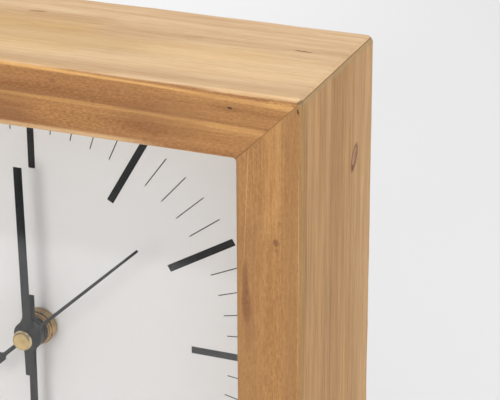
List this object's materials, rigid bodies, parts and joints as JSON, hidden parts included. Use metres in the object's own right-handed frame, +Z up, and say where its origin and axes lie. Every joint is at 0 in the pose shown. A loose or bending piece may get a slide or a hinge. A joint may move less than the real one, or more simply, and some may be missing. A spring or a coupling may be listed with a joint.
{
  "type": "table clock",
  "caption": "Square wooden box clock: mitred boards round a deep-set printed dial behind glass, three hands, and a battery quartz movement with a working gear train.",
  "frame": {"origin": "the middle of the case's underside", "axes": "+Z up, -Y out of the dial towards the viewer, +X to the viewer's right; the hands' shaft runs along Y at x 0, z 0.1"},
  "size_m": [0.2, 0.06, 0.2],
  "materials": {
    "wood": "oiled softwood",
    "glass": "clear",
    "card": "matt printed card",
    "fibreboard": "raw fibreboard",
    "hand_black": "satin black",
    "brass": "turned",
    "rubber": "matt",
    "black_plastic": "moulded",
    "white_plastic": "moulded",
    "grey_plastic": "moulded",
    "steel": "stamped",
    "magnet": "sintered",
    "copper": "enamelled wire",
    "circuit": "solder mask",
    "battery_sleeve": "printed sleeve"
  },
  "bodies": {
    "case": {"top_board": "wood", "right_board": "wood", "bottom_board": "wood", "left_board": "wood", "glass_pane": "glass", "dial_face": "card", "dial_board": "fibreboard", "threaded_bush": "brass", "dial_nut": "brass", "rubber_washer": "rubber", "movement_front_case": "black_plastic", "movement_rear_case": "black_plastic", "middle_plate": "grey_plastic", "train_bridge": "white_plastic", "battery": "battery_sleeve", "battery_contact_positive": "brass", "battery_contact_negative": "brass", "stator": "steel", "coil_core": "steel", "coil_bobbin": "white_plastic", "coil_winding": "copper", "circuit_board": "circuit", "quartz_crystal": "steel", "chip_cover": "magnet"},
    "minute_hand_group": {"minute_hand": "hand_black", "cannon_pinion": "grey_plastic"},
    "hour_hand_group": {"hour_hand": "hand_black", "hour_wheel": "white_plastic"},
    "minute_wheel_group": {"minute_wheel": "white_plastic"},
    "setting_knob_group": {"setting_knob": "black_plastic"},
    "second_hand_group": {"second_hand": "hand_black", "second_hand_cap": "brass", "second_wheel": "white_plastic"},
    "third_wheel_group": {"third_wheel": "white_plastic"},
    "center_wheel_group": {"center_wheel": "grey_plastic"},
    "fifth_wheel_group": {"fifth_wheel": "white_plastic"},
    "rotor_group": {"rotor_pinion": "white_plastic", "rotor_magnet": "magnet"}
  },
  "joints": [
    {"name": "minute_hand_turn", "type": "hinge", "parent": "case", "child": "minute_hand_group", "pos_m": [0, 0, 0.1], "axis": [0, 1, 0], "continuous": true},
    {"name": "hour_hand_turn", "type": "hinge", "parent": "case", "child": "hour_hand_group", "pos_m": [0, 0, 0.1], "axis": [0, 1, 0], "continuous": true},
    {"name": "minute_wheel_turn", "type": "hinge", "parent": "case", "child": "minute_wheel_group", "pos_m": [-0.004, 0, 0.10693], "axis": [0, 1, 0], "continuous": true},
    {"name": "setting_knob_turn", "type": "hinge", "parent": "case", "child": "setting_knob_group", "pos_m": [-0.00546, 0, 0.1152], "axis": [0, 1, 0], "continuous": true},
    {"name": "second_hand_turn", "type": "hinge", "parent": "case", "child": "second_hand_group", "pos_m": [0, 0, 0.1], "axis": [0, 1, 0], "continuous": true},
    {"name": "third_wheel_turn", "type": "hinge", "parent": "case", "child": "third_wheel_group", "pos_m": [-0.00915, 0, 0.0992], "axis": [0, 1, 0], "continuous": true},
    {"name": "center_wheel_turn", "type": "hinge", "parent": "case", "child": "center_wheel_group", "pos_m": [0, 0, 0.1], "axis": [0, 1, 0], "continuous": true},
    {"name": "fifth_wheel_turn", "type": "hinge", "parent": "case", "child": "fifth_wheel_group", "pos_m": [0.00783, 0, 0.10365], "axis": [0, 1, 0], "continuous": true},
    {"name": "rotor_turn", "type": "hinge", "parent": "case", "child": "rotor_group", "pos_m": [0.01403, 0, 0.10475], "axis": [0, 1, 0], "continuous": true}
  ],
  "couplings": [
    {"joint": "hour_hand_turn", "follows": "minute_hand_turn", "ratio": 0.083333},
    {"joint": "minute_wheel_turn", "follows": "minute_hand_turn", "ratio": -0.33333},
    {"joint": "setting_knob_turn", "follows": "minute_hand_turn", "ratio": 0.83333},
    {"joint": "third_wheel_turn", "follows": "second_hand_turn", "ratio": -0.13333},
    {"joint": "center_wheel_turn", "follows": "second_hand_turn", "ratio": 0.016667},
    {"joint": "fifth_wheel_turn", "follows": "second_hand_turn", "ratio": -5},
    {"joint": "rotor_turn", "follows": "second_hand_turn", "ratio": 30}
  ]
}
